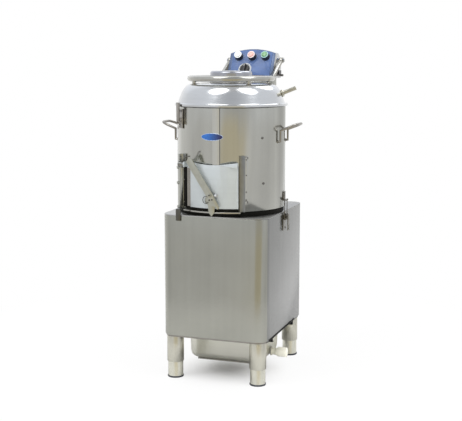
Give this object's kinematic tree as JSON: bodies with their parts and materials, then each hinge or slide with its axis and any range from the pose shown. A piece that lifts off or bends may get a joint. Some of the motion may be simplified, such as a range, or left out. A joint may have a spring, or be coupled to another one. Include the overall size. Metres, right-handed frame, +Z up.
{
  "type": "electric potato peeler",
  "caption": "Free-standing batch peeler: a steel drum with an abrasive disc over a square cabinet, with a hinged lid, a discharge door, push-button controls and a peel tray.",
  "frame": {"origin": "centre of the bounding box in plan, on the floor under the feet", "axes": "+Z up; -Y is the front, the discharge door's side; +X is to the right for someone who stands in front of the door and looks at it"},
  "size_m": [0.53, 0.5578, 1.2056],
  "materials": {
    "brushed_stainless": "brushed",
    "polished_stainless": "polished",
    "dull_steel": "dull, rolled",
    "black_steel": "satin black paint",
    "black_rubber": "matte",
    "abrasive": "silicon carbide grit bonded in resin",
    "cast_aluminium": "as cast, satin",
    "motor_paint": "satin paint",
    "blue_panel": "satin film",
    "white_plastic": "gloss",
    "cream_plastic": "semi-gloss",
    "red_plastic": "gloss",
    "green_plastic": "gloss",
    "black_plastic": "satin"
  },
  "bodies": {
    "machine": {"leg_front_left": "brushed_stainless", "leg_front_right": "brushed_stainless", "leg_rear_left": "brushed_stainless", "leg_rear_right": "brushed_stainless", "base_plate": "black_steel", "cabinet_shell": "brushed_stainless", "cabinet_deck": "cast_aluminium", "rear_panel": "brushed_stainless", "cable_gland": "black_plastic", "drum_gasket": "black_rubber", "drum_shell": "brushed_stainless", "drum_floor": "dull_steel", "abrasive_liner": "abrasive", "drain_pipe": "black_plastic", "bearing_housing": "cast_aluminium", "drive_belt": "black_rubber", "motor": "motor_paint", "door_seal": "black_rubber", "door_sill": "polished_stainless", "door_jamb_left": "polished_stainless", "door_jamb_right": "polished_stainless", "drum_handle_left": "polished_stainless", "drum_handle_right": "polished_stainless", "toggle_keeper_left": "polished_stainless", "toggle_keeper_right": "polished_stainless", "toggle_base_left": "polished_stainless", "toggle_base_right": "polished_stainless", "lid_latch_base": "polished_stainless", "control_column": "brushed_stainless", "control_housing": "brushed_stainless", "control_panel": "blue_panel", "tray_rail_front": "black_steel", "tray_rail_rear": "black_steel"},
    "front_left_foot": {"foot_front_left": "brushed_stainless"},
    "front_right_foot": {"foot_front_right": "brushed_stainless"},
    "rear_left_foot": {"foot_rear_left": "brushed_stainless"},
    "rear_right_foot": {"foot_rear_right": "brushed_stainless"},
    "rotor": {"abrasive_disc": "abrasive", "spindle": "polished_stainless", "spindle_pulley": "cast_aluminium"},
    "motor_rotor": {"motor_pulley": "polished_stainless"},
    "lid": {"lid_shell": "polished_stainless", "lid_seal": "black_rubber", "lid_cap": "polished_stainless", "lid_frame": "polished_stainless", "water_inlet": "polished_stainless"},
    "latch_lever": {"lid_latch_lever": "polished_stainless"},
    "door": {"door_plate": "polished_stainless", "door_lever": "polished_stainless"},
    "left_toggle_lever": {"toggle_lever_left": "polished_stainless"},
    "right_toggle_lever": {"toggle_lever_right": "polished_stainless"},
    "left_toggle_bail": {"toggle_bail_left": "polished_stainless"},
    "right_toggle_bail": {"toggle_bail_right": "polished_stainless"},
    "white_button": {"button_white": "white_plastic"},
    "red_button": {"button_red": "red_plastic"},
    "green_button": {"button_green": "green_plastic"},
    "timer": {"timer_knob": "black_plastic"},
    "peel_tray": {"tray": "brushed_stainless", "tap_body": "cream_plastic"},
    "tap": {"tap_knob": "cream_plastic"}
  },
  "joints": [
    {"name": "front_left_foot_height", "type": "slide", "parent": "machine", "child": "front_left_foot", "axis": [0, 0, -1], "range_m": [0, 0.02]},
    {"name": "front_right_foot_height", "type": "slide", "parent": "machine", "child": "front_right_foot", "axis": [0, 0, -1], "range_m": [0, 0.02]},
    {"name": "rear_left_foot_height", "type": "slide", "parent": "machine", "child": "rear_left_foot", "axis": [0, 0, -1], "range_m": [0, 0.02]},
    {"name": "rear_right_foot_height", "type": "slide", "parent": "machine", "child": "rear_right_foot", "axis": [0, 0, -1], "range_m": [0, 0.02]},
    {"name": "disc_spin", "type": "hinge", "parent": "machine", "child": "rotor", "pos_m": [0, -0.0516, 0.4897], "axis": [0, 0, 1], "continuous": true},
    {"name": "motor_spin", "type": "hinge", "parent": "machine", "child": "motor_rotor", "pos_m": [0, 0.0984, 0.4897], "axis": [0, 0, 1], "continuous": true},
    {"name": "lid_hinge", "type": "hinge", "parent": "machine", "child": "lid", "pos_m": [0, 0.2389, 1.1626], "axis": [-1, 0, 0], "range_deg": [0, 105]},
    {"name": "lid_latch", "type": "hinge", "parent": "machine", "child": "latch_lever", "pos_m": [-0.14778, -0.19939, 0.9456], "axis": [0.7071, -0.7071, 0], "range_deg": [0, 70]},
    {"name": "door_hinge", "type": "hinge", "parent": "machine", "child": "door", "pos_m": [0, -0.2666, 0.7966], "axis": [-1, 0, 0], "range_deg": [0, 95]},
    {"name": "left_toggle", "type": "hinge", "parent": "machine", "child": "left_toggle_lever", "pos_m": [-0.212, -0.0366, 0.596], "axis": [0, 1, 0], "range_deg": [0, 95]},
    {"name": "right_toggle", "type": "hinge", "parent": "machine", "child": "right_toggle_lever", "pos_m": [0.212, -0.0366, 0.596], "axis": [0, -1, 0], "range_deg": [0, 95]},
    {"name": "left_bail", "type": "hinge", "parent": "left_toggle_lever", "child": "left_toggle_bail", "pos_m": [-0.2079, -0.0366, 0.584], "axis": [0, 1, 0], "range_deg": [-82, 0]},
    {"name": "right_bail", "type": "hinge", "parent": "right_toggle_lever", "child": "right_toggle_bail", "pos_m": [0.2079, -0.0366, 0.584], "axis": [0, -1, 0], "range_deg": [-82, 0]},
    {"name": "white_press", "type": "slide", "parent": "machine", "child": "white_button", "axis": [0, 0.8829, -0.4695], "range_m": [0, 0.004], "stiffness_N_per_m": 400, "springref_m": -0.001},
    {"name": "red_press", "type": "slide", "parent": "machine", "child": "red_button", "axis": [0, 0.8829, -0.4695], "range_m": [0, 0.004], "stiffness_N_per_m": 400, "springref_m": -0.001},
    {"name": "green_press", "type": "slide", "parent": "machine", "child": "green_button", "axis": [0, 0.8829, -0.4695], "range_m": [0, 0.004], "stiffness_N_per_m": 400, "springref_m": -0.001},
    {"name": "timer_turn", "type": "hinge", "parent": "machine", "child": "timer", "pos_m": [-0.022, 0.17224, 1.12835], "axis": [0, -0.8829, 0.4695], "range_deg": [-300, 0]},
    {"name": "tray_slide", "type": "slide", "parent": "machine", "child": "peel_tray", "axis": [1, 0, 0], "range_m": [0, 0.3]},
    {"name": "tap_turn", "type": "hinge", "parent": "peel_tray", "child": "tap", "pos_m": [0.192, -0.0146, 0.067], "axis": [1, 0, 0], "range_deg": [0, 90]}
  ],
  "couplings": [
    {"joint": "motor_spin", "follows": "disc_spin", "ratio": 2.574},
    {"joint": "left_bail", "follows": "left_toggle", "ratio": -0.861},
    {"joint": "right_bail", "follows": "right_toggle", "ratio": -0.861}
  ]
}
